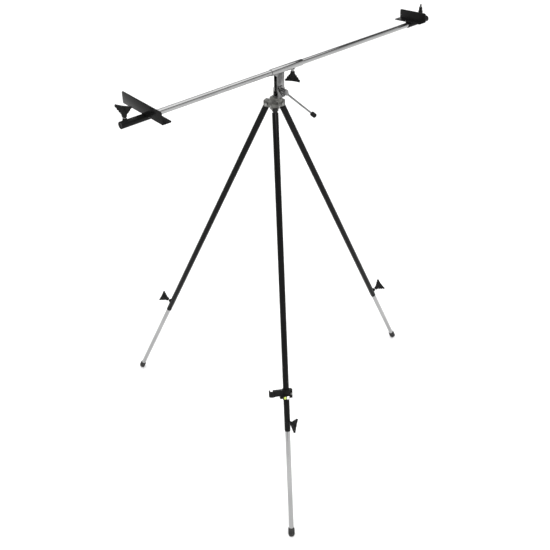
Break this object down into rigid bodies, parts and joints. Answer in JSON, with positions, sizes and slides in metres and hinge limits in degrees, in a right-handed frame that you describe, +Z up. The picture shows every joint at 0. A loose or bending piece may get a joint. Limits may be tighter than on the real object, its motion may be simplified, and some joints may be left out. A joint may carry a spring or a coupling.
{
  "type": "tripod crossbar stand",
  "caption": "Folding tripod stand with telescoping legs, a tilting head and a sliding crossbar that carries an angle bracket with a wing screw near each end.",
  "frame": {"origin": "on the floor, under the middle of the whole stand as it is set up", "axes": "+Z up from the floor, -Y towards the front leg, +X towards the far end of the crossbar"},
  "size_m": [1.2155, 0.9967, 1.4094],
  "materials": {
    "crown_metal": "dull cast grey",
    "black_anodised": "satin black anodised",
    "black_paint": "semi-gloss black",
    "black_plastic": "moulded, fine texture",
    "chrome_tube": "bright chrome",
    "head_plate": "bright plated, slightly worn",
    "steel_hardware": "zinc plated",
    "grey_plastic": "moulded",
    "rubber": "matt",
    "vial_green": "clear yellow-green"
  },
  "bodies": {
    "crown": {"crown": "crown_metal", "leg_pivot_bolts": "steel_hardware", "pan_bolt": "steel_hardware"},
    "leg_front": {"leg_fitting_front": "black_plastic", "upper_tube_front": "black_anodised", "lock_collar_front": "black_plastic", "leg_clip": "black_plastic", "clip_screw": "steel_hardware", "level_holder": "black_plastic", "level_vial": "vial_green"},
    "leg_lower_front": {"lower_tube_front": "chrome_tube", "glide_bush_front": "grey_plastic", "foot_front": "rubber"},
    "leg_wing_front": {"leg_knob_front": "black_plastic", "leg_screw_front": "steel_hardware"},
    "leg_right": {"leg_fitting_right": "black_plastic", "upper_tube_right": "black_anodised", "lock_collar_right": "black_plastic"},
    "leg_lower_right": {"lower_tube_right": "chrome_tube", "glide_bush_right": "grey_plastic", "foot_right": "rubber"},
    "leg_wing_right": {"leg_knob_right": "black_plastic", "leg_screw_right": "steel_hardware"},
    "leg_left": {"leg_fitting_left": "black_plastic", "upper_tube_left": "black_anodised", "lock_collar_left": "black_plastic"},
    "leg_lower_left": {"lower_tube_left": "chrome_tube", "glide_bush_left": "grey_plastic", "foot_left": "rubber"},
    "leg_wing_left": {"leg_knob_left": "black_plastic", "leg_screw_left": "steel_hardware"},
    "head_base": {"lower_clevis": "head_plate", "tilt_bolt": "steel_hardware", "tilt_washers": "steel_hardware"},
    "head_top": {"upper_bracket": "head_plate", "bar_sleeve": "chrome_tube"},
    "lever": {"lever_boss": "head_plate", "lever_rod": "head_plate", "lever_tip": "black_plastic"},
    "bar": {"crossbar": "chrome_tube", "bar_end_plugs": "black_plastic"},
    "bar_wing": {"bar_knob": "black_plastic", "bar_screw": "steel_hardware"},
    "bracket_left": {"bracket_sleeve_left": "black_paint", "angle_plate_left": "black_paint", "plate_rivets_left": "black_paint"},
    "bracket_wing_left": {"bracket_knob_left": "black_plastic", "bracket_screw_left": "steel_hardware"},
    "bracket_right": {"bracket_sleeve_right": "black_paint", "angle_plate_right": "black_paint", "plate_rivets_right": "black_paint"},
    "bracket_wing_right": {"bracket_knob_right": "black_plastic", "bracket_screw_right": "steel_hardware"}
  },
  "joints": [
    {"name": "leg_fold_front", "type": "hinge", "parent": "crown", "child": "leg_front", "pos_m": [0.06996, 0.082, 1.21395], "axis": [0.9943, 0, -0.1063], "range_deg": [0, 25]},
    {"name": "leg_slide_front", "type": "slide", "parent": "leg_front", "child": "leg_lower_front", "axis": [-0.0962, -0.4258, -0.8997], "range_m": [-0.3, 0.38]},
    {"name": "leg_lock_front", "type": "hinge", "parent": "leg_front", "child": "leg_wing_front", "pos_m": [-0.01143, -0.34157, 0.3583], "axis": [0.5364, -0.7836, 0.3135], "range_deg": [0, 270]},
    {"name": "leg_fold_right", "type": "hinge", "parent": "crown", "child": "leg_right", "pos_m": [0.0889, 0.115, 1.21192], "axis": [-0.4972, 0.866, 0.0531], "range_deg": [0, 25]},
    {"name": "leg_slide_right", "type": "slide", "parent": "leg_right", "child": "leg_lower_right", "axis": [0.2705, 0.2129, -0.9389], "range_m": [-0.24, 0.44]},
    {"name": "leg_lock_right", "type": "hinge", "parent": "leg_right", "child": "leg_wing_right", "pos_m": [0.3683, 0.32879, 0.30883], "axis": [0.8646, 0.3752, 0.3342], "range_deg": [0, 270]},
    {"name": "leg_fold_left", "type": "hinge", "parent": "crown", "child": "leg_left", "pos_m": [0.05101, 0.115, 1.21597], "axis": [-0.4972, -0.866, 0.0531], "range_deg": [0, 25]},
    {"name": "leg_slide_left", "type": "slide", "parent": "leg_left", "child": "leg_lower_left", "axis": [-0.4628, 0.2129, -0.8605], "range_m": [-0.36, 0.32]},
    {"name": "leg_lock_left", "type": "hinge", "parent": "leg_left", "child": "leg_wing_left", "pos_m": [-0.41293, 0.32879, 0.39232], "axis": [-0.7745, 0.3752, 0.5093], "range_deg": [0, 270]},
    {"name": "head_pan", "type": "hinge", "parent": "crown", "child": "head_base", "pos_m": [0.08653, 0.104, 1.23732], "axis": [0.1063, 0, 0.9943], "continuous": true},
    {"name": "head_tilt", "type": "hinge", "parent": "head_base", "child": "head_top", "pos_m": [0.08866, 0.104, 1.25721], "axis": [0.6012, -0.7965, -0.0642], "range_deg": [-40, 40]},
    {"name": "lever_turn", "type": "hinge", "parent": "head_base", "child": "lever", "pos_m": [0.08866, 0.104, 1.25721], "axis": [0.6012, -0.7965, -0.0642], "range_deg": [0, 100]},
    {"name": "bar_slide", "type": "slide", "parent": "head_top", "child": "bar", "axis": [0.792, 0.6046, -0.0846], "range_m": [-0.15, 0.15]},
    {"name": "bar_lock", "type": "hinge", "parent": "head_top", "child": "bar_wing", "pos_m": [0.13388, 0.13544, 1.29059], "axis": [-0.1063, 0, -0.9943], "range_deg": [0, 270]},
    {"name": "bracket_slide_left", "type": "slide", "parent": "bar", "child": "bracket_left", "axis": [-0.792, -0.6046, 0.0846], "range_m": [-0.24, 0.03]},
    {"name": "bracket_lock_left", "type": "hinge", "parent": "bracket_left", "child": "bracket_wing_left", "pos_m": [-0.30778, -0.20495, 1.37802], "axis": [0.1063, 0, 0.9943], "range_deg": [0, 270]},
    {"name": "bracket_slide_right", "type": "slide", "parent": "bar", "child": "bracket_right", "axis": [0.792, 0.6046, -0.0846], "range_m": [-0.24, 0.03]},
    {"name": "bracket_lock_right", "type": "hinge", "parent": "bracket_right", "child": "bracket_wing_right", "pos_m": [0.57902, 0.47419, 1.28317], "axis": [0.0535, 0.0694, 0.9962], "range_deg": [0, 270]}
  ]
}
